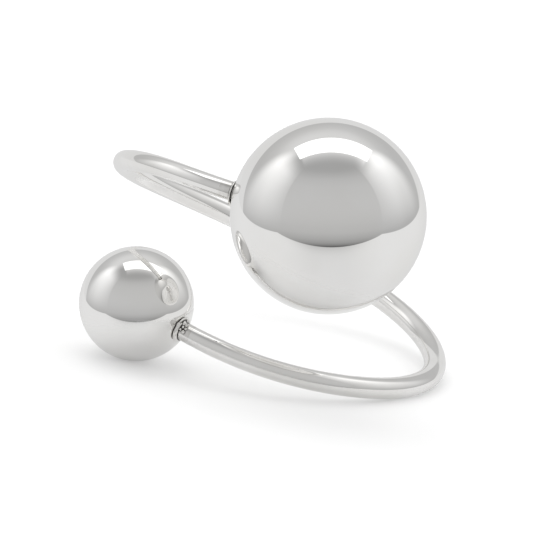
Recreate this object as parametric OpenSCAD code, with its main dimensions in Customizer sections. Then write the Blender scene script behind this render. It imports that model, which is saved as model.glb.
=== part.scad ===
// Open ring of round silver wire: one long turn about the finger, from a small hollow ball at its
// low end to a large hollow ball at its high end, with a solder collar where the wire meets each ball.
// It lies as it rests by itself, on the small ball and on the low right of the wire, at z = 0.

/* [Balls] */
// Outside diameter of the large ball, at the high end of the wire
large_ball_d = 10; // [8:0.5:12]
// Outside diameter of the small ball, at the low end of the wire
small_ball_d = 6; // [5:0.25:7.5]
// Wall of both hollow balls
ball_wall = 0.25; // [0.2:0.05:0.6]
// How far the large ball sits towards the finger from the line of the wire
large_ball_inset = 0.4; // [0:0.05:0.8]
// How far the large ball sits above the line of the wire
large_ball_lift = 0.15; // [0:0.05:0.6]

/* [Wire] */
// Radius of the wire's centre line about the finger axis
coil_r = 9.1; // [7.5:0.1:11]
// Wire diameter at the back of the finger
wire_d_back = 1.2; // [1:0.05:1.6]
// Wire diameter where it meets the balls
wire_d_end = 1; // [0.8:0.05:1.2]
// Height of the bends, as a share of the heights in the bend table
rise_share = 1; // [0.8:0.05:1.2]

/* [Solder collars] */
// How far the sleeve of solder reaches from the ball along the wire
sleeve_length = 0.75; // [0.6:0.05:1]
// How far the sleeve stands out from the wire
sleeve_rise = 0.06; // [0.04:0.01:0.1]
// How far the bead of solder against the ball stands out from the wire
near_bead_rise = 0.21; // [0.18:0.01:0.3]
// How far the thinner bead beside it stands out from the wire
far_bead_rise = 0.13; // [0.11:0.01:0.17]

/* [Resting pose] */
// Lean of the finger axis towards the front, in degrees
lean_front = 0.6; // [-10:0.1:10]
// Lean of the finger axis towards the left, in degrees
lean_left = 0.5; // [-10:0.1:10]

/* [Hidden] */
silver = [0.86, 0.86, 0.85];
wire_sides = 16;
wire_steps = 104;

// Bend table of the wire: a row for every 31 degrees of turn. Turn 0 is the front, 90 the right,
// 180 the back and 270 the left, and the height is that of the wire's centre line. The wire runs
// from the second row to the last but one, and the outer rows only set its slope at the two ends.
TURN = 0;
HEIGHT = 1;
bends = [
    [-61, -0.80],
    [-30, -1.95],
    [  1, -2.95],
    [ 32, -3.60],
    [ 63, -3.90],
    [ 94, -3.65],
    [125, -2.80],
    [156, -1.55],
    [187,  0.00],
    [218,  1.75],
    [249,  3.50],
    [280,  5.10],
    [311,  6.00],
    [342,  5.85],
    [373,  5.25],
];
last_bend = len(bends) - 2;
bend_step = bends[1][TURN] - bends[0][TURN];
turn_start = bends[1][TURN];
turn_end = bends[last_bend][TURN];
turn_middle = (turn_start + turn_end) / 2;

// Catmull-Rom curve through four heights, f from 0 at the second to 1 at the third.
function curve(a, b, c, d, f) =
    b + f * (c - a) / 2 + f * f * (a - 2.5 * b + 2 * c - d / 2) + f * f * f * ((d - a) / 2 + 1.5 * (b - c));

function wire_height(turn) =
    let (
        place = (turn - bends[0][TURN]) / bend_step,
        row = max(1, min(last_bend - 1, floor(place)))
    )
    rise_share * curve(bends[row - 1][HEIGHT], bends[row][HEIGHT], bends[row + 1][HEIGHT],
                       bends[row + 2][HEIGHT], place - row);

function wire_point(turn) = [coil_r * sin(turn), -coil_r * cos(turn), wire_height(turn)];

// The wire is thickest at the back of the finger and thins evenly towards both balls.
function wire_r(turn) =
    let (from_middle = (turn - turn_middle) / (turn_end - turn_middle))
    (wire_d_back + (wire_d_end - wire_d_back) * from_middle * from_middle) / 2;

function unit(v) = v / norm(v);

// Direction of the wire at one turn.
nudge = 0.01;
function along(turn) = unit(wire_point(turn + nudge) - wire_point(turn - nudge));

// Turning of the whole ring into its resting pose, first to the front and then to the left.
function turned(across, up, a) = [across * cos(a) - up * sin(a), up * cos(a) + across * sin(a)];
function leaned(p) =
    let (
        front = turned(p.y, p.z, lean_front),
        left = turned(p.x, front[1], lean_left)
    )
    [left[0], front[0], left[1]];

// The small ball sits in line with the wire, and the large one is nudged inwards and upwards.
small_joint = wire_point(turn_start);
large_joint = wire_point(turn_end);
inward = unit([-large_joint.x, -large_joint.y, 0]);
large_aim = unit(along(turn_end) * large_ball_d / 2 + inward * large_ball_inset + [0, 0, large_ball_lift]);
small_centre = small_joint - along(turn_start) * small_ball_d / 2;
large_centre = large_joint + large_aim * large_ball_d / 2;

// The sleeves of solder, each reaching from just inside its ball's wall, and the beads on them.
bury = 0.14;
near_bead_out = 0.12;
near_bead_r = 0.18;
far_bead_out = 0.37;
far_bead_r = 0.09;
sleeve_turn = sleeve_length / coil_r * 180 / PI;

// The sweep of the wire begins inside the sleeves, clear of the beads.
sweep_turn = (far_bead_out + far_bead_r + 0.04) / coil_r * 180 / PI;
sweep = [for (i = [0 : wire_steps])
    turn_start + sweep_turn + i * (turn_end - turn_start - 2 * sweep_turn) / wire_steps];

// A ring of points about the wire at one turn, in the resting pose.
function wire_ring(turn) =
    let (
        way = along(turn),
        outward = [sin(turn), -cos(turn), 0],
        side = unit(outward - way * (outward * way)),
        rise = cross(way, side)
    )
    [for (k = [0 : wire_sides - 1])
        let (a = 360 * k / wire_sides)
        leaned(wire_point(turn) + wire_r(turn) * (side * cos(a) + rise * sin(a)))];

wire_points = [for (turn = sweep) each wire_ring(turn)];

// The resting place: the lowest point is at z = 0, and the ring is centred over the origin.
function extent(axis, sign) =
    max(
        max([for (p = wire_points) sign * p[axis]]),
        sign * leaned(small_centre)[axis] + small_ball_d / 2,
        sign * leaned(large_centre)[axis] + large_ball_d / 2
    );
resting_place = [
    (extent(0, -1) - extent(0, 1)) / 2,
    (extent(1, -1) - extent(1, 1)) / 2,
    extent(2, -1)
];

$fn = 96;

module wire() {
    last = wire_steps * wire_sides;
    polyhedron(
        points = wire_points,
        faces = concat(
            [[for (k = [0 : wire_sides - 1]) k]],
            [[for (k = [0 : wire_sides - 1]) last + wire_sides - 1 - k]],
            [for (i = [0 : wire_steps - 1], k = [0 : wire_sides - 1])
                let (
                    a = i * wire_sides + k,
                    b = i * wire_sides + (k + 1) % wire_sides
                )
                each [[a, a + wire_sides, b + wire_sides], [a, b + wire_sides, b]]]
        )
    );
}

module hollow_ball(centre, d) {
    translate(leaned(centre))
        difference() {
            sphere(d = d);
            sphere(d = d - 2 * ball_wall);
        }
}

// A round bead of solder about an axis along z.
module solder_bead(rise, thickness_r) {
    rotate_extrude()
        translate([wire_d_end / 2 + rise - thickness_r, 0])
            circle(r = thickness_r);
}

// A sleeve of solder with two beads, from its ball outwards to a point on the wire.
module solder_collar(joint, wire_spot) {
    axis = leaned(unit(wire_spot - joint));
    translate(leaned(joint))
        rotate([0, acos(axis.z), atan2(axis.y, axis.x)]) {
            translate([0, 0, -bury])
                cylinder(r = wire_d_end / 2 + sleeve_rise, h = bury + sleeve_length);
            translate([0, 0, near_bead_out])
                solder_bead(near_bead_rise, near_bead_r);
            translate([0, 0, far_bead_out])
                solder_bead(far_bead_rise, far_bead_r);
        }
}

module ring() {
    color(silver)
        translate(resting_place) {
            wire();
            solder_collar(small_joint, wire_point(turn_start + sleeve_turn));
            solder_collar(large_joint, wire_point(turn_end - sleeve_turn));
            hollow_ball(small_centre, small_ball_d);
            hollow_ball(large_centre, large_ball_d);
        }
}

ring();
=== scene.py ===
"""An open silver wire ring with a large and a small hollow ball, lying on a white studio floor.

The wire's line, its thickness and both balls follow the same named sizes as the solid part. Every
surface is worked out with numpy on a grid, in metres, in the part's own frame.
"""

import logging
import math
from dataclasses import dataclass
from enum import Enum

import bpy
import numpy as np
from mathutils import Matrix


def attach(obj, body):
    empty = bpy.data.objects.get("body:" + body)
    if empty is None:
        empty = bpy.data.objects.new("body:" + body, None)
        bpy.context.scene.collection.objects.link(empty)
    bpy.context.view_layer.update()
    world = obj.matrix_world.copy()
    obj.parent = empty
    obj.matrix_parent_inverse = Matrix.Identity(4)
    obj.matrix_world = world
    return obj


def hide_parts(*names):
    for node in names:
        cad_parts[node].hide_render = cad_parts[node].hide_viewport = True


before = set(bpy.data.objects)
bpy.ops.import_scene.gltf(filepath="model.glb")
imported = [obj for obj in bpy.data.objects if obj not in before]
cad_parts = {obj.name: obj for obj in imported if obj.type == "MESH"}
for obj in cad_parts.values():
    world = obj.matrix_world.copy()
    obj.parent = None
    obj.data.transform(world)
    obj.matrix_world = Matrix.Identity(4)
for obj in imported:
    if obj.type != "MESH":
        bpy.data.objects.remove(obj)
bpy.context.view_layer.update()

log = logging.getLogger("silver_ring")

Array = np.ndarray
Piece = bpy.types.Object
Material = bpy.types.Material
Socket = bpy.types.NodeSocket
Colour = tuple[float, float, float]
Pairs = tuple[tuple[float, float], ...]

MM = 0.001
NODE = "ring"
BODY = "root"
# Attribute that carries the painted shade in the solder's grooves and at its edge against the ball.
CREVICE_SHADE = "crevice_shade"
UP = np.array([0.0, 0.0, 1.0])
NUDGE_DEGREES = 0.01
TINY = 0.0001
SQUARE = np.array([(-1, -1, 0), (1, -1, 0), (1, 1, 0), (-1, 1, 0)], float)


class End(Enum):
    """The two ends of the wire, each with its ball."""

    LOW = "small"
    HIGH = "large"


class Sight(Enum):
    """Whether the camera, the mirroring silver, matt surfaces and shadows see a studio piece."""

    CAMERA_AND_LIGHT = (True, False, True, True)
    CAMERA_ONLY = (True, False, False, False)
    MIRRORS_ONLY = (False, True, False, False)


# Numpy helpers


def unit(v: Array) -> Array:
    """Scales vectors to length one.

    Args:
        v: one vector, or an array of them along the last axis.

    Returns:
        The same vectors, each divided by its length.
    """
    return v / np.linalg.norm(v, axis=-1, keepdims=True)


def smooth(x: Array, low: float, high: float) -> Array:
    """Smooth step: 0 below low, 1 above high, and 3t^2 - 2t^3 between them.

    Args:
        x: where to read the step.
        low: where it leaves 0.
        high: where it reaches 1.

    Returns:
        The step at each x.
    """
    t = np.clip((x - low) / (high - low), 0.0, 1.0)
    return t * t * (3.0 - 2.0 * t)


def spline(knots: Array, values: Array, slopes: tuple[float, float], at: Array) -> Array:
    """Cubic spline with continuous curvature through evenly spaced knots, with given end slopes.

    The second derivatives m solve the usual three-term equations, and between two knots the curve
    is the cubic with the values and the second derivatives of both.

    Args:
        knots: evenly spaced places.
        values: height at each knot.
        slopes: slope at the first and at the last knot.
        at: where to read the curve.

    Returns:
        The heights at those places.
    """
    n, h = len(knots), knots[1] - knots[0]
    lhs = np.diag(np.full(n, 4.0)) + np.diag(np.ones(n - 1), 1) + np.diag(np.ones(n - 1), -1)
    lhs[0, 0] = lhs[-1, -1] = 2.0
    rhs = np.empty(n)
    rhs[1:-1] = 6.0 * (values[2:] - 2.0 * values[1:-1] + values[:-2]) / h**2
    rhs[0] = 6.0 * ((values[1] - values[0]) / h - slopes[0]) / h
    rhs[-1] = 6.0 * (slopes[1] - (values[-1] - values[-2]) / h) / h
    m = np.linalg.solve(lhs, rhs)
    i = np.clip(((at - knots[0]) / h).astype(int), 0, n - 2)
    b = (at - knots[i]) / h
    a = 1.0 - b
    return a * values[i] + b * values[i + 1] + ((a**3 - a) * m[i] + (b**3 - b) * m[i + 1]) * h**2 / 6.0


def circle(count: int) -> Array:
    """Angles of evenly spaced points once round."""
    return np.linspace(0.0, 2.0 * math.pi, count, endpoint=False)


def blur(grid: Array, width: tuple[float, float]) -> Array:
    """Gaussian blur of a grid whose rows are closed on themselves.

    Each weight is exp(-d^2 / 2w^2) of the distance d in grid steps, and they add up to one.

    Args:
        grid: the values, as rows by columns.
        width: the width w from row to row, and along a row.

    Returns:
        The blurred grid.
    """
    n, k = grid.shape
    down = np.arange(n)[:, None] - np.arange(n)
    along = (np.arange(k)[:, None] - np.arange(k) + k // 2) % k - k // 2
    weights = [np.exp(-0.5 * (d / w) ** 2) for d, w in zip((down, along), width)]
    rows, columns = (w / w.sum(axis=1, keepdims=True) for w in weights)
    return rows @ grid @ columns.T


def closed_surface(name: str, rows: Array, first: Array, last: Array) -> Piece:
    """Makes a closed smooth mesh from rings of points and one point at each end.

    Neighbouring rings are joined by quads, and each end ring is closed by a fan of triangles to its
    end point. All faces are turned over if the enclosed signed volume comes out negative.

    Args:
        name: name of the new object.
        rows: points of the rings, as rings by points by 3, each ring closed on itself.
        first: the end point before the first ring.
        last: the end point after the last ring.

    Returns:
        The new object, linked to the scene, at the origin.
    """
    n, k = rows.shape[:2]
    points = np.vstack([rows.reshape(-1, 3), first[None], last[None]])
    ring = np.arange(k)
    step = np.roll(ring, -1)
    base = (np.arange(n - 1) * k)[:, None]
    quads = np.stack([base + ring, base + step, base + k + step, base + k + ring], -1).reshape(-1, 4)
    start = np.stack([step, ring, np.full(k, n * k)], -1)
    end = np.stack([(n - 1) * k + ring, (n - 1) * k + step, np.full(k, n * k + 1)], -1)
    fans = np.vstack([start, end])
    corners = np.vstack([quads[:, :3], quads[:, [0, 2, 3]], fans])
    a, b, c = (points[corners[:, j]] for j in range(3))
    if np.einsum("ij,ij->i", a, np.cross(b, c)).sum() < 0:
        quads, fans = quads[:, ::-1], fans[:, ::-1]

    mesh = bpy.data.meshes.new(name)
    mesh.vertices.add(len(points))
    mesh.vertices.foreach_set("co", points.astype(np.float32).ravel())
    loops = np.concatenate([quads.ravel(), fans.ravel()]).astype(np.int32)
    mesh.loops.add(len(loops))
    mesh.loops.foreach_set("vertex_index", loops)
    starts = np.concatenate([np.arange(len(quads)) * 4, len(quads) * 4 + np.arange(len(fans)) * 3])
    mesh.polygons.add(len(starts))
    mesh.polygons.foreach_set("loop_start", starts.astype(np.int32))
    mesh.polygons.foreach_set("use_smooth", np.ones(len(starts), dtype=bool))
    mesh.update(calc_edges=True)
    mesh.validate()
    piece = bpy.data.objects.new(name, mesh)
    bpy.context.scene.collection.objects.link(piece)
    return piece


# The wire's line


@dataclass(frozen=True)
class Lean:
    """How the finger axis leans as the ring lies by itself, in degrees."""

    front: float = 0.6
    left: float = 0.5

    def matrix(self) -> Array:
        """Turning matrix of the lean: first about X towards the front, then about Y to the left.

        Returns:
            The matrix, for points as columns.
        """
        f, s = math.radians(self.front), math.radians(self.left)
        about_x = np.array([[1, 0, 0], [0, math.cos(f), -math.sin(f)], [0, math.sin(f), math.cos(f)]])
        about_y = np.array([[math.cos(s), 0, -math.sin(s)], [0, 1, 0], [math.sin(s), 0, math.cos(s)]])
        return about_y @ about_x


@dataclass(frozen=True)
class WireLine:
    """The centre line of the wire, in millimetres and degrees of turn about the finger.

    Turn 0 is the front, 90 the right, 180 the back. heights is the bend table, with a row for every
    31 degrees, and slopes is the rise over one row at its first and its last row. resting_place is
    where the middle of the upright ring lies in the part's frame.
    """

    radius: float = 9.1
    turn_start: float = -30.0
    turn_end: float = 342.0
    heights: tuple[float, ...] = (
        -1.95, -2.95, -3.6, -3.9, -3.65, -2.8, -1.55, 0.0, 1.75, 3.5, 5.1, 6.0, 5.85,
    )
    slopes: tuple[float, float] = (-1.075, -0.375)
    thick_back: float = 1.2
    thick_end: float = 1.0
    lean: Lean = Lean()
    resting_place: tuple[float, float, float] = (0.179, 2.585, 4.447)

    def to_part(self, points: Array) -> Array:
        """Moves points from the upright ring, in millimetres, to the part's frame, in metres."""
        return (points @ self.lean.matrix().T + np.array(self.resting_place)) * MM

    def surface(self, name: str, rows: Array, first: Array, last: Array) -> Piece:
        """A closed surface from rings of points and two end points on the upright ring."""
        return closed_surface(name, self.to_part(rows), self.to_part(first), self.to_part(last))

    def upright(self, turn: Array) -> Array:
        """Points of the centre line on the upright ring: a circle whose height follows the bend table.

        Args:
            turn: turns in degrees.

        Returns:
            One point per turn, in millimetres.
        """
        knots = np.linspace(self.turn_start, self.turn_end, len(self.heights))
        step = knots[1] - knots[0]
        slopes = (self.slopes[0] / step, self.slopes[1] / step)
        height = spline(knots, np.array(self.heights), slopes, turn)
        a = np.radians(turn)
        return np.stack([self.radius * np.sin(a), -self.radius * np.cos(a), height], -1)

    def direction(self, turn: Array) -> Array:
        """Unit direction of the wire on the upright ring, as the difference of two near points."""
        return unit(self.upright(turn + NUDGE_DEGREES) - self.upright(turn - NUDGE_DEGREES))

    def spokes(self, turn: Array) -> tuple[Array, Array]:
        """The two directions square to the wire on the upright ring.

        Args:
            turn: turns in degrees.

        Returns:
            The direction away from the finger, less its share along the wire, and the one on top.
        """
        along = self.direction(turn)
        a = np.radians(turn)
        outward = np.stack([np.sin(a), -np.cos(a), np.zeros_like(a)], -1)
        side = unit(outward - along * (outward * along).sum(-1, keepdims=True))
        return side, np.cross(side, along)

    def half_thickness(self, turn: Array) -> Array:
        """Radius of the wire: a parabola from the back of the finger, thinner towards both balls.

        Args:
            turn: turns in degrees.

        Returns:
            The radius at each turn, in millimetres.
        """
        middle = (self.turn_start + self.turn_end) / 2.0
        share = (turn - middle) / (self.turn_end - middle)
        return (self.thick_back + (self.thick_end - self.thick_back) * share**2) / 2.0


# Finishes


class Nodes:
    """A small helper that fills the node tree of one material, or of the world."""

    def __init__(self, owner: bpy.types.ID) -> None:
        """Empties the node tree.

        Args:
            owner: the material or the world that the tree belongs to.
        """
        self.owner = owner
        owner.use_nodes = True
        self.tree = owner.node_tree
        self.tree.nodes.clear()

    def add(self, kind: str, **settings: object) -> bpy.types.Node:
        """Adds a node.

        Args:
            kind: the node's type name.
            settings: properties of the node to set.

        Returns:
            The new node.
        """
        node = self.tree.nodes.new(kind)
        for name, value in settings.items():
            setattr(node, name, value)
        return node

    def link(self, out: Socket, into: Socket) -> None:
        """Joins an output to an input."""
        self.tree.links.new(out, into)

    def feed(self, socket: Socket, value: Socket | float | Colour) -> None:
        """Gives an input its link, number or colour.

        Args:
            socket: the input.
            value: an output to link, or what to set.
        """
        if isinstance(value, Socket):
            self.link(value, socket)
        else:
            socket.default_value = (*value, 1.0) if isinstance(value, tuple) else value

    def math(self, what: str, *values: object, clamp: bool = False) -> Socket:
        """A Math node over sockets or numbers.

        Args:
            what: the operation.
            values: sockets or plain numbers, in order.
            clamp: whether the result is held between 0 and 1.

        Returns:
            The node's output.
        """
        node = self.add("ShaderNodeMath", operation=what, use_clamp=clamp)
        for socket, value in zip(node.inputs, values):
            self.feed(socket, value)
        return node.outputs[0]

    def degrees(self, y: Socket, x: Socket) -> Socket:
        """Angle of (x, y) in degrees."""
        return self.math("MULTIPLY", self.math("ARCTAN2", y, x), 180.0 / math.pi)

    def fold(self, what: str, first: Socket, *others: Socket | float) -> Socket:
        """Joins many values with one operation.

        Args:
            what: the operation, such as MULTIPLY.
            first: the first value.
            others: the values that follow.

        Returns:
            The last node's output.
        """
        for other in others:
            first = self.math(what, first, other)
        return first

    def ramp(self, value: Socket, low: float, high: float, a: float = 0.0, b: float = 1.0) -> Socket:
        """Smooth Map Range of a value from low..high to a..b.

        Args:
            value: the socket to read.
            low: where the result is a.
            high: where the result is b.
            a: result at low.
            b: result at high.

        Returns:
            The node's output.
        """
        node = self.add("ShaderNodeMapRange", interpolation_type="SMOOTHSTEP")
        self.link(value, node.inputs["Value"])
        for name, number in (("From Min", low), ("From Max", high), ("To Min", a), ("To Max", b)):
            node.inputs[name].default_value = number
        return node.outputs["Result"]

    def measure(self, what: str, vector: Socket, fixed: Array) -> Socket:
        """A Vector Math node over a vector and a fixed one.

        Args:
            what: the operation.
            vector: the vector socket.
            fixed: the fixed vector.

        Returns:
            The number that the node works out.
        """
        node = self.add("ShaderNodeVectorMath", operation=what)
        self.link(vector, node.inputs[0])
        node.inputs[1].default_value = fixed.tolist()
        return node.outputs["Value"]

    def mix(self, share: Socket, a: Socket | float | Colour, b: Socket | float | Colour) -> Socket:
        """Mixes two numbers or two colours: a where share is 0 and b where it is 1.

        Args:
            share: how much of b.
            a: the first of them.
            b: the second, which is a tuple where colours are mixed.

        Returns:
            The node's output.
        """
        data, kind = ("RGBA", "RGBA") if isinstance(b, tuple) else ("FLOAT", "VALUE")
        node = self.add("ShaderNodeMix", data_type=data)
        self.link(share, node.inputs[0])
        for socket, value in zip([s for s in node.inputs if s.type == kind][-2:], (a, b)):
            self.feed(socket, value)
        return next(s for s in node.outputs if s.type == kind)

    def noise(self, place: Socket, scale: float, detail: float) -> Socket:
        """Adds a noise texture.

        Args:
            place: the coordinates that it reads.
            scale: its scale per metre.
            detail: how many finer layers it has.

        Returns:
            The noise, around 0.5.
        """
        node = self.add("ShaderNodeTexNoise")
        self.link(place, node.inputs["Vector"])
        node.inputs["Scale"].default_value = scale
        node.inputs["Detail"].default_value = detail
        return node.outputs["Fac"]

    def shader(self, kind: str, name: str, value: Socket | float | Colour) -> Socket:
        """Adds a shader.

        Args:
            kind: the node's type name.
            name: the input that gets a value.
            value: its link, number or colour.

        Returns:
            The node's output.
        """
        node = self.add(kind)
        self.feed(node.inputs[name], value)
        return node.outputs[0]

    def matt(self, tone: float) -> Socket:
        """A matt shader that gives back a share tone of the light."""
        return self.shader("ShaderNodeBsdfDiffuse", "Color", (tone, tone, tone))

    def light(self, strength: Socket | float) -> Socket:
        """A shader that only gives light."""
        return self.shader("ShaderNodeEmission", "Strength", strength)

    def output(self, shader: Socket) -> bpy.types.ID:
        """Joins the last shader to a new output.

        Args:
            shader: the shader.

        Returns:
            The material or the world.
        """
        kind = "World" if isinstance(self.owner, bpy.types.World) else "Material"
        self.link(shader, self.add(f"ShaderNodeOutput{kind}").inputs["Surface"])
        return self.owner


@dataclass(frozen=True)
class SilverFinish:
    """Sterling silver: a bright and a duller tone, a range of roughness, and its fine marks.

    Scales are per metre and mark_depth is in metres. crevice_shade_tone is the painted shade
    in the grooves, if there is any. The cloud and the haze are noise, and each range holds the noise
    values that it spreads over.
    """

    name: str
    bright: Colour
    dull: Colour
    roughness: tuple[float, float]
    cloud_scale: float
    mark_scale: float
    mark_depth: float
    crevice_shade_tone: Colour | None = None
    cloud_detail: float = 3.0
    cloud_range: tuple[float, float] = (0.35, 0.7)
    haze_detail: float = 4.0
    haze_range: tuple[float, float] = (0.3, 0.75)
    haze_fineness: float = 2.6
    mark_detail: float = 2.0

    def material(self) -> Material:
        """Builds the material from noise on Object coordinates, with painted shade from an attribute where it
        is set.

        A broad noise clouds the tone between bright and dull, a second one shifts the roughness, and
        a fine one gives the marks that polishing leaves. Where a shade tone is set, an attribute of the
        piece mixes that painted shade into the tone.

        Returns:
            The material.
        """
        nodes = Nodes(bpy.data.materials.new(self.name))
        place = nodes.add("ShaderNodeTexCoord").outputs["Object"]
        shader = nodes.add("ShaderNodeBsdfPrincipled")
        shader.inputs["Metallic"].default_value = 1.0

        cloud = nodes.noise(place, self.cloud_scale, self.cloud_detail)
        tone = nodes.mix(nodes.ramp(cloud, *self.cloud_range), self.bright, self.dull)
        # Painted shade: a near-black tone, mixed in by the attribute, darkens the grooves and the edge at the
        # ball.
        if self.crevice_shade_tone:
            crevice_shade = nodes.add("ShaderNodeAttribute", attribute_name=CREVICE_SHADE).outputs["Fac"]
            tone = nodes.mix(crevice_shade, tone, self.crevice_shade_tone)
        nodes.link(tone, shader.inputs["Base Color"])

        haze = nodes.noise(place, self.cloud_scale * self.haze_fineness, self.haze_detail)
        nodes.link(nodes.ramp(haze, *self.haze_range, *self.roughness), shader.inputs["Roughness"])

        bump = nodes.add("ShaderNodeBump")
        bump.inputs["Strength"].default_value = 1.0
        bump.inputs["Distance"].default_value = self.mark_depth
        nodes.link(nodes.noise(place, self.mark_scale, self.mark_detail), bump.inputs["Height"])
        nodes.link(bump.outputs["Normal"], shader.inputs["Normal"])
        return nodes.output(shader.outputs["BSDF"])


MIRROR_POLISH = SilverFinish(
    name="mirror_polished_silver",
    bright=(0.955, 0.95, 0.94),
    dull=(0.93, 0.922, 0.905),
    roughness=(0.015, 0.04),
    cloud_scale=300.0,
    mark_scale=5000.0,
    mark_depth=0.4e-7,
)
DRAWN_WIRE = SilverFinish(
    name="drawn_silver_wire",
    bright=(0.955, 0.948, 0.935),
    dull=(0.91, 0.9, 0.88),
    roughness=(0.02, 0.06),
    cloud_scale=420.0,
    mark_scale=6000.0,
    mark_depth=1.0e-7,
)
RUN_SOLDER = SilverFinish(
    name="run_silver_solder",
    bright=(0.93, 0.92, 0.9),
    dull=(0.8, 0.785, 0.755),
    roughness=(0.03, 0.1),
    cloud_scale=2200.0,
    mark_scale=9000.0,
    mark_depth=4.0e-7,
    # Painted shade for the solder's grooves and its edge against the ball.
    crevice_shade_tone=(0.045, 0.043, 0.04),
)


def seat(piece: Piece, finish: Material) -> Piece:
    """Gives a piece its finish, hangs it on the body that it rides on, and hides the solid part's node.

    Args:
        piece: the finished object.
        finish: its material.

    Returns:
        The same object.
    """
    piece.data.materials.append(finish)
    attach(piece, BODY)
    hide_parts(NODE)
    log.info("%s: %d faces", piece.name, len(piece.data.polygons))
    return piece


# The ring's pieces


@dataclass(frozen=True)
class RingWire:
    """The round wire: a circle carried along the centre line, with both ends inside the balls' walls."""

    line: WireLine
    sides: int = 72
    steps: int = 1000
    bury: float = 0.12

    def build(self, finish: Material) -> Piece:
        """Sweeps the circle. Each ring lies square to the wire, with its first point facing outwards.

        Args:
            finish: the wire's material.

        Returns:
            The wire.
        """
        extra = math.degrees(self.bury / self.line.radius)
        turn = np.linspace(self.line.turn_start - extra, self.line.turn_end + extra, self.steps)
        centre = self.line.upright(turn)
        side, top = self.line.spokes(turn)
        round_about = circle(self.sides)[None, :, None]
        spoke = side[:, None] * np.cos(round_about) + top[:, None] * np.sin(round_about)
        rings = centre[:, None] + spoke * self.line.half_thickness(turn)[:, None, None]
        return seat(self.line.surface("wire", rings, centre[0], centre[-1]), finish)


@dataclass(frozen=True)
class Ball:
    """A polished ball at one end of the wire, in millimetres, nudged by inset and lift off its line."""

    line: WireLine
    end: End
    diameter: float
    inset: float = 0.0
    lift: float = 0.0
    rings: int = 180
    sides: int = 320

    def seam(self) -> tuple[float, float]:
        """The turn at which the wire meets the ball, and the sign of the turns that lead away."""
        return (self.line.turn_start, 1.0) if self.end is End.LOW else (self.line.turn_end, -1.0)

    def joint(self) -> tuple[Array, Array]:
        """Finds the joint of wire and ball on the upright ring.

        Returns:
            Where the wire's centre line meets the ball, and the wire's direction away from it.
        """
        turn, sign = self.seam()
        at = np.array([turn])
        return self.line.upright(at)[0], sign * self.line.direction(at)[0]

    def centre(self) -> Array:
        """Finds the ball's centre, in line with the wire and then nudged in and up.

        Returns:
            The centre on the upright ring, in millimetres.
        """
        at, away = self.joint()
        inward = unit(np.array([-at[0], -at[1], 0.0]))
        aim = unit(-away * self.diameter / 2.0 + inward * self.inset + UP * self.lift)
        return at + aim * self.diameter / 2.0

    def build(self, finish: Material) -> Piece:
        """A sphere of rings about the line through the joint, so that one pole lies under the solder.

        Args:
            finish: the ball's material.

        Returns:
            The ball.
        """
        at, _ = self.joint()
        middle = self.centre()
        pole = unit(at - middle)
        across = unit(np.cross(pole, UP))
        third = np.cross(pole, across)
        tilt = np.linspace(0.0, math.pi, self.rings + 2)[1:-1][:, None, None]
        about = circle(self.sides)[None, :, None]
        spoke = across * np.cos(about) + third * np.sin(about)
        rows = middle + (pole * np.cos(tilt) + spoke * np.sin(tilt)) * self.diameter / 2.0
        reach = pole * self.diameter / 2.0
        return seat(self.line.surface(f"{self.end.value}_ball", rows, middle + reach, middle - reach), finish)


@dataclass(frozen=True)
class Ridge:
    """A bead of solder that runs round the wire, in millimetres and degrees.

    It stands rise above the wire at distance out from the ball, drifts by sway along the wire as it
    goes round, and is highest at the angle facing, where uneven says how much of it is left opposite.
    """

    out: float
    half_width: float
    rise: float
    sway: float = 0.0
    facing: float = 90.0
    uneven: float = 1.0


@dataclass(frozen=True)
class Grain:
    """A small rounded lump of solder, in millimetres and degrees round the wire."""

    out: float
    around: float
    radius: float
    rise: float


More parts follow.
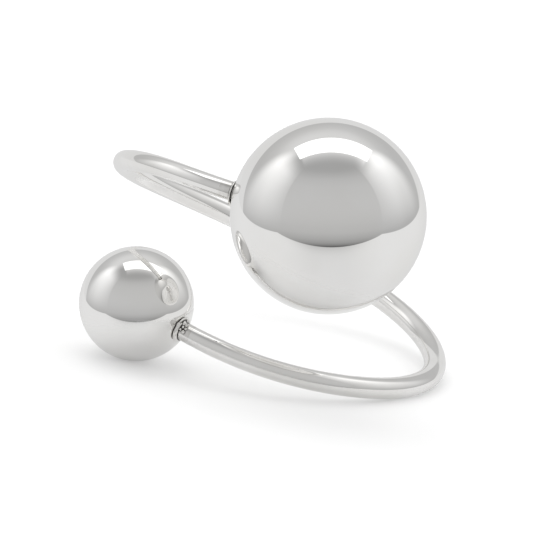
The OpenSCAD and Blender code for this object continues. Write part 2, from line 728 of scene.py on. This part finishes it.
@dataclass(frozen=True)
class SolderCollar:
    """The solder that joins the wire to a ball, as a height field round the wire.

    The angle round the wire is 0 at the top and 90 towards the front. Sizes are in millimetres.
    It reaches from bury inside the ball to length outside. foot is the width of the blur that finds
    the feet of the lumps. skin is the thin layer near them, which ends where the blurred height falls
    through skin_edge, and sunk is how deep the rest lies in the wire. Painted shade darkens the grooves
    as the blurred height grows past groove_depth, and next to the ball as the height above it falls
    through ball_gap.
    """

    ball: Ball
    ridges: tuple[Ridge, ...]
    grains: tuple[Grain, ...]
    length: float = 0.75
    bury: float = 0.3
    foot: float = 0.035
    skin: float = 0.008
    sunk: float = 0.004
    skin_edge: tuple[float, float] = (0.004, 0.02)
    groove_depth: tuple[float, float] = (-0.002, 0.02)
    ball_gap: tuple[float, float] = (0.09, 0.02)
    rings: int = 240
    sides: int = 360

    def lumps(self, out: Array, around: Array, wire_radius: float) -> Array:
        """Height of the ridges and grains above the wire at each place.

        A ridge is a half round, and a grain is a cap of a ball. The highest of them counts.

        Args:
            out: distance from the ball.
            around: angle round the wire, in radians.
            wire_radius: radius of the wire.

        Returns:
            The height in millimetres, 0 beside them.
        """
        height = np.zeros(np.broadcast_shapes(out.shape, around.shape))
        for r in self.ridges:
            turn = around - math.radians(r.facing)
            middle = r.out + r.sway * np.sin(turn)
            full = r.rise * (r.uneven + (1.0 - r.uneven) * (0.5 + 0.5 * np.cos(turn)))
            bead = np.sqrt(np.clip(1.0 - ((out - middle) / r.half_width) ** 2, 0.0, None))
            height = np.maximum(height, full * bead)
        for g in self.grains:
            turn = around - math.radians(g.around)
            turn = (turn + math.pi) % (2.0 * math.pi) - math.pi
            far = np.hypot(out - g.out, turn * wire_radius) / g.radius
            cap = np.sqrt(np.clip(1.0 - far**2, 0.0, None))
            height = np.maximum(height, g.rise * cap)
        return height

    def build(self, finish: Material) -> Piece:
        """Wraps the height field round the wire, from inside the ball outwards.

        A thin skin reaches a little past the lumps, and beyond it the solder dips into the wire. The
        painted shade is 1 where the blurred height stands well above the height, and at the ball.

        Args:
            finish: the solder's material.

        Returns:
            The collar.
        """
        line = self.ball.line
        turn, sign = self.ball.seam()
        out = np.linspace(-self.bury, self.length, self.rings)
        turns = turn + sign * np.degrees(out / line.radius)
        centre = line.upright(turns)
        way = sign * line.direction(turns)
        top = unit(UP - way * way[:, 2:3])
        front = np.cross(way, top)
        front *= np.sign(-front[:, 1:2])
        around = circle(self.sides)
        wire = line.half_thickness(turns)
        spoke = top[:, None] * np.cos(around)[:, None] + front[:, None] * np.sin(around)[:, None]

        lumps = self.lumps(out[:, None], around[None, :], float(wire[0]))
        step = (out[1] - out[0], (around[1] - around[0]) * wire[0])
        soft = blur(lumps, (self.foot / step[0], self.foot / step[1]))
        skin = (self.skin + self.sunk) * smooth(soft, *self.skin_edge) - self.sunk
        height = np.maximum(lumps, skin)
        rows = centre[:, None] + spoke * (wire[:, None] + height)[:, :, None]
        above_ball = np.linalg.norm(rows - self.ball.centre(), axis=-1) - self.ball.diameter / 2.0
        # Painted shade: 1 in the grooves between lumps and along the edge against the ball.
        crevice_shade = np.maximum(smooth(soft - height, *self.groove_depth), smooth(above_ball, *self.ball_gap))
        piece = line.surface(f"{self.ball.end.value}_collar", rows, centre[0], centre[-1])
        values = np.concatenate([crevice_shade.ravel(), (0.0, 0.0)]).astype(np.float32)
        piece.data.attributes.new(CREVICE_SHADE, "FLOAT", "POINT").data.foreach_set("value", values)
        return seat(piece, finish)


@dataclass
class SilverRing:
    """The whole ring: wire, two balls and two collars of solder."""

    line: WireLine = WireLine()

    def small_ball(self) -> Ball:
        """The ball at the low end of the wire."""
        return Ball(self.line, End.LOW, diameter=6.0, rings=150, sides=260)

    def large_ball(self) -> Ball:
        """The ball at the high end of the wire, which sits a little inwards and upwards."""
        return Ball(self.line, End.HIGH, diameter=10.0, inset=0.4, lift=0.15)

    def build(self) -> list[Piece]:
        """Builds and dresses every piece.

        Returns:
            The pieces.
        """
        mirror, drawn, solder = (f.material() for f in (MIRROR_POLISH, DRAWN_WIRE, RUN_SOLDER))
        small, large = self.small_ball(), self.large_ball()
        small_collar = SolderCollar(
            small,
            ridges=(
                Ridge(out=0.04, half_width=0.12, rise=0.2, sway=0.02, facing=130.0, uneven=0.3),
                Ridge(out=0.0, half_width=0.06, rise=0.22, facing=5.0, uneven=0.2),
            ),
            grains=(
                Grain(out=-0.02, around=52.0, radius=0.13, rise=0.22),
                Grain(out=0.17, around=-8.0, radius=0.1, rise=0.17),
                Grain(out=0.19, around=27.0, radius=0.12, rise=0.15),
                Grain(out=0.27, around=50.0, radius=0.075, rise=0.14),
                Grain(out=0.21, around=68.0, radius=0.07, rise=0.12),
                Grain(out=0.35, around=33.0, radius=0.08, rise=0.12),
                Grain(out=0.38, around=73.0, radius=0.1, rise=0.1),
                Grain(out=0.42, around=52.0, radius=0.075, rise=0.09),
            ),
        )
        large_collar = SolderCollar(
            large,
            ridges=(
                Ridge(out=0.08, half_width=0.06, rise=0.26, facing=165.0, uneven=0.4),
                Ridge(out=-0.05, half_width=0.07, rise=0.2, facing=20.0, uneven=0.6),
            ),
            grains=(
                Grain(out=-0.1, around=30.0, radius=0.11, rise=0.25),
                Grain(out=-0.09, around=52.0, radius=0.1, rise=0.27),
                Grain(out=-0.12, around=88.0, radius=0.16, rise=0.22),
                Grain(out=-0.1, around=118.0, radius=0.1, rise=0.22),
            ),
        )
        return [
            RingWire(self.line).build(drawn),
            small.build(mirror),
            large.build(mirror),
            small_collar.build(solder),
            large_collar.build(solder),
        ]


# Camera and studio


@dataclass(frozen=True)
class View:
    """The photograph's viewing angle, in degrees and millimetres."""

    azimuth: float = 0.1
    elevation: float = 12.8
    roll: float = -9.24
    distance: float = 186.9
    target: tuple[float, float, float] = (-0.519, -0.386, 5.304)
    lens: float = 238.3
    sensor: float = 36.0
    nearest: float = 5.0
    farthest: float = 5000.0

    def axes(self) -> Array:
        """Works out how the camera is turned: about Z, then up, then rolled about its own sight line.

        Returns:
            Rows of the camera's right, up and backward directions in the part's frame.
        """
        a, e, r = (math.radians(x) for x in (self.azimuth, self.elevation, self.roll))
        back = np.array([math.sin(a) * math.cos(e), -math.cos(a) * math.cos(e), math.sin(e)])
        level_right = np.array([math.cos(a), math.sin(a), 0.0])
        level_up = np.cross(back, level_right)
        up = level_up * math.cos(r) + level_right * math.sin(r)
        right = np.cross(up, back)
        return np.array([right, up, back])

    def build(self) -> None:
        """Makes the camera and sets it as the scene's."""
        axes = self.axes()
        data = bpy.data.cameras.new("camera")
        data.lens, data.sensor_width = self.lens, self.sensor
        data.clip_start, data.clip_end = self.nearest * MM, self.farthest * MM
        camera = bpy.data.objects.new("camera", data)
        matrix = np.eye(4)
        matrix[:3, :3] = axes.T
        matrix[:3, 3] = (np.array(self.target) + axes[2] * self.distance) * MM
        camera.matrix_world = Matrix(matrix.tolist())
        bpy.context.scene.collection.objects.link(camera)
        bpy.context.scene.camera = camera


def linear(tone: float) -> float:
    """Light level of a display tone of 0 to 255: the power curve that displays use."""
    share = tone / 255.0
    return share / 12.92 if share <= 0.04045 else ((share + 0.055) / 1.055) ** 2.4


@dataclass(frozen=True)
class Way:
    """A direction in the light box, as the sockets of its shares right, forward and up."""

    nodes: Nodes
    x: Socket
    f: Socket
    z: Socket


@dataclass(frozen=True)
class SidePanel:
    """Outline of a soft panel of light on one side wall.

    Along the wall, places are distances forward over the distance out. The panel is cut off at edge,
    grows from near to full_near, and fades from full_far to far. Upwards, it grows evenly over climb
    degrees from foot, and fades between the two angles of top.
    """

    edge: float
    near: float
    full_near: float
    full_far: float
    far: float
    cut: float = 0.015
    foot: float = -7.0
    climb: float = 52.0
    top: tuple[float, float] = (46.0, 68.0)


@dataclass(frozen=True)
class LightBox:
    """The light box that the silver mirrors, as a function of direction.

    Its axes X, F and Z point right, forward to the camera, and up, level in the camera's frame.
    Tones are what the display shows of them in the silver, from 0 to 255, where the share of light that
    the silver gives back is taken off, and angles are in degrees.
    Each run of (angle, tone) pairs is a smooth curve. The walls' curves run on round the sides, where
    a step to the side counts as side_share of one forward, and behind is where the back one takes over.
    The backdrop ends at backdrop_top, less a parabola of backdrop_bow with its middle to the left.
    Each edge setting is half the width over which an edge fades.
    """

    axes: Array
    silver: float = 0.925
    front_wall: Pairs = (
        (-27, 40), (-25.4, 68), (-24.2, 104), (-22.8, 128), (-20.5, 148), (-17, 162), (-10, 177),
        (0, 184), (16, 189), (45, 186), (55, 178), (62, 166), (68, 160), (90, 162),
    )
    back_wall: Pairs = (
        (-25, 160), (0, 181), (30, 183), (45, 195), (55, 208), (65, 208), (90, 190),
    )
    side_share: float = 0.8
    behind: tuple[float, float] = (0.02, -0.3)
    panel_light: float = 0.5
    left_panel: SidePanel = SidePanel(edge=0.62, near=0.85, full_near=-0.18, full_far=-0.28, far=-0.78)
    right_panel: SidePanel = SidePanel(edge=0.48, near=0.75, full_near=-0.3, full_far=-0.4, far=-0.95)
    backdrop: float = 214.0
    backdrop_top: float = 0.57
    backdrop_bow: float = 0.34
    backdrop_shift: float = 0.35
    backdrop_least: float = 0.05
    backdrop_edge: float = 0.012
    backdrop_sides: tuple[float, float] = (0.02, 0.06)
    table_front: Pairs = ((0, 214), (45, 213), (55, 209), (60, 202), (64, 192), (67, 176))
    table_side: float = 222.0
    table_turn: tuple[float, float] = (0.2, 0.9)
    table_edges: Pairs = ((-0.472, -0.026), (-0.143, 0.147), (-0.107, -0.197))
    table_edge: float = 0.006

    def level(self, tone: float) -> float:
        """Light level that shows as the given tone in the silver."""
        return linear(tone) / self.silver

    def curve(self, way: Way, angle: Socket, stops: Pairs) -> Socket:
        """Smooth curve of light level over an angle.

        Args:
            way: the direction.
            angle: socket in degrees.
            stops: pairs of angle and tone.

        Returns:
            The light level.
        """
        n = way.nodes
        low, high = stops[0][0], stops[-1][0]
        place = n.math("DIVIDE", n.math("SUBTRACT", angle, low), high - low, clamp=True)
        ramp = n.add("ShaderNodeValToRGB")
        ramp.color_ramp.interpolation = "CARDINAL"
        keys = ramp.color_ramp.elements
        while len(keys) < len(stops):
            keys.new(0.5)
        for key, (at, tone) in zip(keys, stops):
            key.position = (at - low) / (high - low)
            key.color = (self.level(tone),) * 3 + (1.0,)
        n.link(place, ramp.inputs["Fac"])
        return ramp.outputs["Color"]

    def build(self) -> None:
        """Fills the world's node tree, from the walls to the table that covers their feet."""
        n = Nodes(bpy.data.worlds.new("light_box"))
        direction = n.add("ShaderNodeTexCoord").outputs["Generated"]
        way = Way(n, *(n.measure("DOT_PRODUCT", direction, axis) for axis in self.axes))
        left = self.panel(way, n.math("MULTIPLY", way.x, -1.0), self.left_panel)
        right = self.panel(way, way.x, self.right_panel)
        tone = n.fold("ADD", self.walls(way), left, right)
        tone = self.table(way, self.paper_backdrop(way, tone))
        shade = n.add("ShaderNodeBackground")
        shade.inputs["Color"].default_value = (1.0, 1.0, 1.0, 1.0)
        n.link(tone, shade.inputs["Strength"])
        bpy.context.scene.world = n.output(shade.outputs[0])

    def walls(self, way: Way) -> Socket:
        """The grey walls and ceiling: one curve in front and one behind, by the angle above the level.

        The angle is that of z over the length of (f, side_share x).

        Args:
            way: the direction.

        Returns:
            The light level of the walls.
        """
        n = way.nodes
        narrow = n.math("MULTIPLY", way.x, self.side_share)
        flat = n.math("ADD", n.math("MULTIPLY", way.f, way.f), n.math("MULTIPLY", narrow, narrow))
        height = n.degrees(way.z, n.math("SQRT", flat))
        front = self.curve(way, height, self.front_wall)
        return n.mix(n.ramp(way.f, *self.behind), front, self.curve(way, height, self.back_wall))

    def panel(self, way: Way, out: Socket, shape: SidePanel) -> Socket:
        """A soft panel of light on one side wall.

        Its strength is a smooth rise and fall in f over out, cut off at its front edge, times an even
        rise and a smooth fall in the angle of z over out.

        Args:
            way: the direction.
            out: its share towards that side.
            shape: the panel's outline.

        Returns:
            The light level of the panel, 0 beside it.
        """
        n = way.nodes
        out = n.math("MAXIMUM", out, TINY)
        along = n.math("DIVIDE", way.f, out)
        height = n.degrees(way.z, out)
        grow = n.ramp(along, shape.near, shape.full_near)
        fade = n.ramp(along, shape.full_far, shape.far, 1.0, 0.0)
        cut = n.ramp(along, shape.edge + shape.cut, shape.edge - shape.cut)
        rise = n.math("MULTIPLY", n.math("ADD", height, -shape.foot), 1.0 / shape.climb, clamp=True)
        tall = n.math("MULTIPLY", rise, n.ramp(height, *shape.top, 1.0, 0.0))
        return n.fold("MULTIPLY", grow, fade, cut, tall, self.panel_light)

    def paper_backdrop(self, way: Way, tone: Socket) -> Socket:
        """The pale backdrop. Its top edge is a parabola of x over the distance back.

        Args:
            way: the direction.
            tone: the light level so far.

        Returns:
            The light level with the backdrop in front.
        """
        n = way.nodes
        away = n.math("MULTIPLY", way.f, -1.0)
        across = n.math("DIVIDE", way.x, n.math("MAXIMUM", away, self.backdrop_least))
        off = n.math("POWER", n.math("ADD", across, self.backdrop_shift), 2.0)
        bow = n.math("MULTIPLY", off, self.backdrop_bow)
        top = n.math("MULTIPLY", away, n.math("SUBTRACT", self.backdrop_top, bow))
        on = n.ramp(n.math("SUBTRACT", top, way.z), -self.backdrop_edge, self.backdrop_edge)
        on = n.math("MULTIPLY", on, n.ramp(away, *self.backdrop_sides))
        return n.mix(on, tone, self.level(self.backdrop))

    def table(self, way: Way, tone: Socket) -> Socket:
        """The white table underneath, with three straight edges.

        Each edge is a plane z = a f + b x with a pair (a, b) of table_edges, for the front, the left
        and the right, and the table lies below the lowest of them. Its tone goes from the curve in
        front to the even tone at the sides over table_turn.

        Args:
            way: the direction.
            tone: the light level so far.

        Returns:
            The light level with the table in front.
        """
        n = way.nodes
        edges = (
            n.math("ADD", n.math("MULTIPLY", way.f, a), n.math("MULTIPLY", way.x, b))
            for a, b in self.table_edges
        )
        below = n.math("SUBTRACT", n.fold("MINIMUM", *edges), way.z)
        down = n.math("MAXIMUM", n.math("MULTIPLY", way.z, -1.0), TINY)
        forward = n.degrees(way.f, down)
        share = n.ramp(n.math("ABSOLUTE", way.x), *self.table_turn)
        table = n.mix(share, self.curve(way, forward, self.table_front), self.level(self.table_side))
        return n.mix(n.ramp(below, -self.table_edge, self.table_edge), tone, table)


@dataclass(frozen=True)
class SoftBox:
    """The bright soft box overhead, a four-cornered card that is seen only in the silver.

    Corners are (right, forward) on the plane height above the large ball's centre, in heights.
    A second card beside it carries the glow before its front edge, and reaches glow_reach forward.
    """

    height: float = 0.067
    corners: Pairs = ((-0.53, -0.35), (0.73, -0.47), (0.7, 0.0), (-0.49, 0.06))
    strength: float = 1.35
    glow_reach: float = 0.32
    glow_strength: float = 0.3
    glow_sides: tuple[float, float] = (0.44, 0.5)

    def glow_corners(self) -> Pairs:
        """Corners of the glow, which begins at the soft box's front edge."""
        right, left = self.corners[2:]
        return (left, right, *((x, f + self.glow_reach) for x, f in (right, left)))

    def points(self, corners: Pairs, heart: Array, axes: Array) -> Array:
        """Moves corners to the part's frame.

        Args:
            corners: (right, forward) of each, in heights.
            heart: the large ball's centre.
            axes: rows of the light box's directions.

        Returns:
            The corners in metres.
        """
        return heart + np.array([(x, f, 1.0) for x, f in corners]) * self.height @ axes


@dataclass(frozen=True)
class Lamp:
    """A soft distant lamp that lights the paper and isn't seen in the silver.

    spread is how wide it looks from the ring, lean how far it comes from behind, and tip how far it
    comes from the left, in degrees.
    """

    name: str
    energy: float
    spread: float
    lean: float = 0.0
    tip: float = 0.0
    shadow: bool = True

    def build(self) -> None:
        """Makes the lamp."""
        lamp = bpy.data.lights.new(self.name, "SUN")
        lamp.energy = self.energy
        lamp.angle = math.radians(self.spread)
        lamp.use_shadow = self.shadow
        light = bpy.data.objects.new(self.name, lamp)
        light.rotation_euler = (math.radians(-self.lean), math.radians(-self.tip), 0.0)
        light.visible_glossy = False
        bpy.context.scene.collection.objects.link(light)


@dataclass(frozen=True)
class Patch:
    """A round patch of paper, in millimetres: full as far as core, and faded out at reach."""

    centre: tuple[float, float, float]
    core: float
    reach: float


@dataclass
class Studio:
    """White floor, white surround, soft light from above, and the light box that the silver mirrors.

    heart is the large ball's centre, and tilt the camera's height as the light box sees it, in degrees.
    The silver mirrors the table of the light box, and near the ring two patches of matt paper, just
    above the floor, that take the ring's shadow. Sizes are in metres.
    """

    view: View
    heart: Array
    tilt: float = 12.0
    floor_half: float = 0.8
    floor_tone: float = 0.8
    surround_radius: float = 0.95
    surround_light: float = 0.985
    surround_rings: int = 24
    surround_sides: int = 48
    patches: tuple[Patch, ...] = (
        Patch(centre=(-1.0, -3.5, 0.0), core=4.9, reach=14.0),
        Patch(centre=(-1.0, 3.5, 0.0), core=9.5, reach=12.5),
    )
    patch_half: float = 0.021
    patch_tone: float = 0.61
    patch_lift: float = 0.00001
    lamps: tuple[Lamp, ...] = (
        Lamp("sky", energy=1.05, spread=170.0),
        Lamp("overhead", energy=0.52, spread=50.0, lean=10.0, tip=14.0),
        Lamp("fill", energy=0.95, spread=10.0, shadow=False),
    )

    def axes(self) -> Array:
        """Works out how the light box stands.

        Returns:
            Rows of its right, forward and up directions, level in the camera's frame.
        """
        right, up, back = self.view.axes()
        t = math.radians(self.tilt)
        forward = back * math.cos(t) - up * math.sin(t)
        return np.array([right, forward, up * math.cos(t) + back * math.sin(t)])

    def show(self, thing: Piece, finish: Material, sight: Sight) -> None:
        """Finishes a studio piece.

        Args:
            thing: the floor, a backdrop or a card.
            finish: its material.
            sight: what sees it.
        """
        thing.data.materials.append(finish)
        thing.visible_camera, thing.visible_glossy, thing.visible_diffuse, thing.visible_shadow = sight.value
        thing.visible_transmission = thing.visible_volume_scatter = False

    def flat(self, name: str, corners: Array) -> Piece:
        """A single four-sided face.

        Args:
            name: name of the new object.
            corners: its corners in metres, in order.

        Returns:
            The new object, whose UV map is the unit square.
        """
        mesh = bpy.data.meshes.new(name)
        mesh.from_pydata([tuple(map(float, c)) for c in corners], [], [(0, 1, 2, 3)])
        mesh.uv_layers.new(name="uv").data.foreach_set("uv", [0.0, 0.0, 1.0, 0.0, 1.0, 1.0, 0.0, 1.0])
        thing = bpy.data.objects.new(name, mesh)
        bpy.context.scene.collection.objects.link(thing)
        return thing

    def glow(self, name: str, tone: float) -> Material:
        """A material that only gives light, as strong as tone."""
        nodes = Nodes(bpy.data.materials.new(name))
        return nodes.output(nodes.light(tone))

    def bloom(self, box: SoftBox) -> Material:
        """Makes the glow, which falls off as (1 - v)^2 from the front edge and fades at both sides.

        Args:
            box: the soft box that it belongs to.

        Returns:
            The material.
        """
        nodes = Nodes(bpy.data.materials.new("soft_box_glow"))
        place = nodes.add("ShaderNodeSeparateXYZ")
        nodes.link(nodes.add("ShaderNodeTexCoord").outputs["UV"], place.inputs[0])
        u, v = place.outputs["X"], place.outputs["Y"]
        fall = nodes.math("POWER", nodes.math("SUBTRACT", 1.0, v), 2.0)
        off_middle = nodes.math("ABSOLUTE", nodes.math("SUBTRACT", u, 0.5))
        sides = nodes.ramp(off_middle, *box.glow_sides, 1.0, 0.0)
        light = nodes.light(nodes.fold("MULTIPLY", fall, sides, box.glow_strength))
        clear = nodes.add("ShaderNodeBsdfTransparent")
        both = nodes.add("ShaderNodeAddShader")
        nodes.link(light, both.inputs[0])
        nodes.link(clear.outputs[0], both.inputs[1])
        return nodes.output(both.outputs[0])

    def white_paper(self) -> Material:
        """The floor's matt paper."""
        nodes = Nodes(bpy.data.materials.new("white_paper"))
        return nodes.output(nodes.matt(self.floor_tone))

    def mirrored_paper(self) -> Material:
        """Makes the paper of the patches, clear where the distance has faded every one of them.

        Returns:
            The material.
        """
        nodes = Nodes(bpy.data.materials.new("mirrored_paper"))
        place = nodes.add("ShaderNodeTexCoord").outputs["Object"]
        fades = []
        for patch in self.patches:
            away = nodes.measure("DISTANCE", place, np.array(patch.centre) * MM)
            fades.append(nodes.ramp(away, patch.core * MM, patch.reach * MM))
        clear = nodes.add("ShaderNodeBsdfTransparent")
        both = nodes.add("ShaderNodeMixShader")
        nodes.link(nodes.fold("MINIMUM", *fades), both.inputs[0])
        nodes.link(nodes.matt(self.patch_tone), both.inputs[1])
        nodes.link(clear.outputs[0], both.inputs[2])
        return nodes.output(both.outputs[0])

    def floor(self) -> None:
        """The pale floor, and the patches of paper just above it."""
        floor = self.flat("floor", self.floor_half * SQUARE)
        self.show(floor, self.white_paper(), Sight.CAMERA_AND_LIGHT)
        near = self.flat("mirrored_floor", self.patch_half * SQUARE + UP * self.patch_lift)
        self.show(near, self.mirrored_paper(), Sight.MIRRORS_ONLY)

    def surround(self) -> None:
        """The pale surround, a sphere of rings round the upright."""
        tilt = np.linspace(0.0, math.pi, self.surround_rings + 2)[1:-1][:, None]
        about = circle(self.surround_sides)[None]
        spoke = [np.sin(tilt) * np.cos(about), np.sin(tilt) * np.sin(about), np.cos(tilt) + 0 * about]
        rows = np.stack(spoke, -1) * self.surround_radius
        ball = closed_surface("surround", rows, UP * self.surround_radius, -UP * self.surround_radius)
        self.show(ball, self.glow("white_surround", self.surround_light), Sight.CAMERA_ONLY)

    def build(self) -> None:
        """Sets up the floor, the surround, the light box, the soft box and the lamps."""
        self.floor()
        self.surround()
        axes = self.axes()
        LightBox(axes).build()
        box = SoftBox()
        card = self.flat("soft_box", box.points(box.corners, self.heart, axes))
        self.show(card, self.glow("soft_box_light", box.strength), Sight.MIRRORS_ONLY)
        bloom = self.flat("soft_box_glow", box.points(box.glow_corners(), self.heart, axes))
        self.show(bloom, self.bloom(box), Sight.MIRRORS_ONLY)
        for lamp in self.lamps:
            lamp.build()
        display = bpy.context.scene.view_settings
        display.view_transform = "Standard"
        display.look = "None"
        display.exposure = 0.0
        display.gamma = 1.0


def main() -> None:
    """Builds the ring, the camera and the studio."""
    logging.basicConfig(level=logging.INFO, format="%(name)s: %(message)s")
    ring = SilverRing()
    pieces = ring.build()
    log.info("%d pieces", len(pieces))
    view = View()
    view.build()
    Studio(view, ring.line.to_part(ring.large_ball().centre())).build()


if __name__ == "__main__":
    main()
